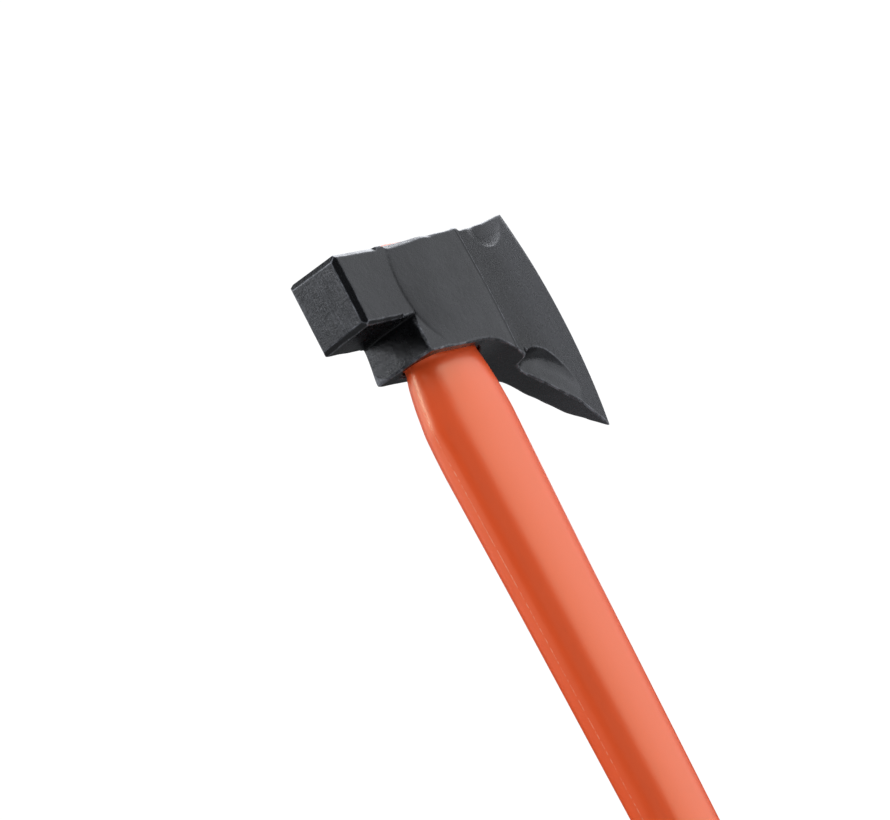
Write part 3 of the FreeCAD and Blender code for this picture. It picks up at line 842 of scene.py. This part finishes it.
def add_world():
    """White behind the object, and for everything else a dim room with light off its floor."""
    world = bpy.data.worlds.new("studio")
    scene.world = world
    world.use_nodes = True
    tree = world.node_tree
    room = tree.nodes["Background"]
    room.inputs["Color"].default_value = (*COOL_WHITE, 1)
    way = tree.nodes.new("ShaderNodeTexCoord")
    height = tree.nodes.new("ShaderNodeSeparateXYZ")
    tree.links.new(way.outputs["Generated"], height.inputs["Vector"])
    glow = map_range(tree, height.outputs["Z"], 0.35, 0.02, -0.6, -0.15)
    tree.links.new(glow, room.inputs["Strength"])
    sweep = tree.nodes.new("ShaderNodeBackground")
    sweep.inputs["Color"].default_value = (1, 1, 1, 1)
    sweep.inputs["Strength"].default_value = 1.05
    path = tree.nodes.new("ShaderNodeLightPath")
    mix = tree.nodes.new("ShaderNodeMixShader")
    tree.links.new(path.outputs["Is Camera Ray"], mix.inputs["Fac"])
    tree.links.new(room.outputs["Background"], mix.inputs[1])
    tree.links.new(sweep.outputs["Background"], mix.inputs[2])
    tree.links.new(mix.outputs["Shader"], tree.nodes["World Output"].inputs["Surface"])


FLOOR_HALF = 3000
FLOOR_GAP = 0.2
FLOOR_GLOW = 0.65


def add_floor():
    """A pale floor just under the butt, which looks a little brighter than it lights."""
    level = box_mm("butt_cap")[0].z - FLOOR_GAP
    corners = [(FLOOR_HALF * side, FLOOR_HALF * end, level)
               for side, end in ((-1, -1), (1, -1), (1, 1), (-1, 1))]
    floor = add_mesh("floor", corners, [(0, 1, 2, 3)], smooth=False)
    paint = plain_node_material("floor_paint", (0.78, 0.78, 0.78), (0.8, 0.8, 0.8), 0.7, 3)
    shader = paint.node_tree.nodes["Principled BSDF"]
    shader.inputs["Emission Color"].default_value = (1, 1, 1, 1)
    path = paint.node_tree.nodes.new("ShaderNodeLightPath")
    seen = map_range(paint.node_tree, path.outputs["Is Camera Ray"], 0.0, FLOOR_GLOW, 0, 1)
    paint.node_tree.links.new(seen, shader.inputs["Emission Strength"])
    floor.data.materials.append(paint)
    floor.visible_glossy = False


# ---------------------------------------------------------------- the axe

add_camera()
add_world()
add_softbox("poll_side", 104, 33, 88, 52, 0.3)
add_softbox("poll_wide", 128, 33, 76, 56, 0.85)
add_softbox("poll_faint", 138, 33, 66, 60, 0.25)
add_softbox("neck_glint", 143, 33, 12, 26, 7.5)
add_softbox("cheek_side", -51, 3, 66, 52, 1.0)
add_softbox("cheek_wide", -39, 3, 82, 52, 0.4)
add_softbox("cheek_high", -32, 48, 84, 34, 1.9)
add_softbox("front_side", 31, 22, 40, 36, 1.1)
add_softbox("top_right", 19, 35, 16, 20, 1.5)
add_softbox("overhead", -150, 63, 56, 36, 2.0)
add_softbox("low_fill", -125, 4, 50, 40, 0.66, mirrored=False)
add_floor()
scene.view_settings.view_transform = "Standard"

stand_for(build_head(), "axe_head", coated_steel())
stand_for(build_jacket(), "handle_jacket", orange_plastic())

rubber = plain_node_material("black_rubber", (0.014, 0.014, 0.015), (0.026, 0.026, 0.027), 0.48, 300)
glass_fibre = plain_node_material("glass_fibre", (0.5, 0.45, 0.3), (0.6, 0.55, 0.4), 0.5, 900)
steel = plain_node_material("stainless", (0.5, 0.5, 0.5), (0.6, 0.6, 0.6), 0.3, 900, 1.0)
resin = plain_node_material("cast_resin", (0.11, 0.06, 0.02), (0.16, 0.09, 0.03), 0.18, 120)
dam_rubber = plain_node_material("dam_rubber", (0.03, 0.03, 0.03), (0.045, 0.045, 0.045), 0.75, 200)
stand_for(build_grip(), "grip_sleeve", rubber)
stand_for(build_cap(), "butt_cap", rubber)
stand_for(build_eyelet(), "hang_eyelet", steel)
stand_for(build_washer(), "eyelet_washer", steel)
for node, material in (("handle_core", glass_fibre), ("eye_resin", resin), ("eye_dam", dam_rubber)):
    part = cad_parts[node]
    part.data.materials.clear()
    part.data.materials.append(material)
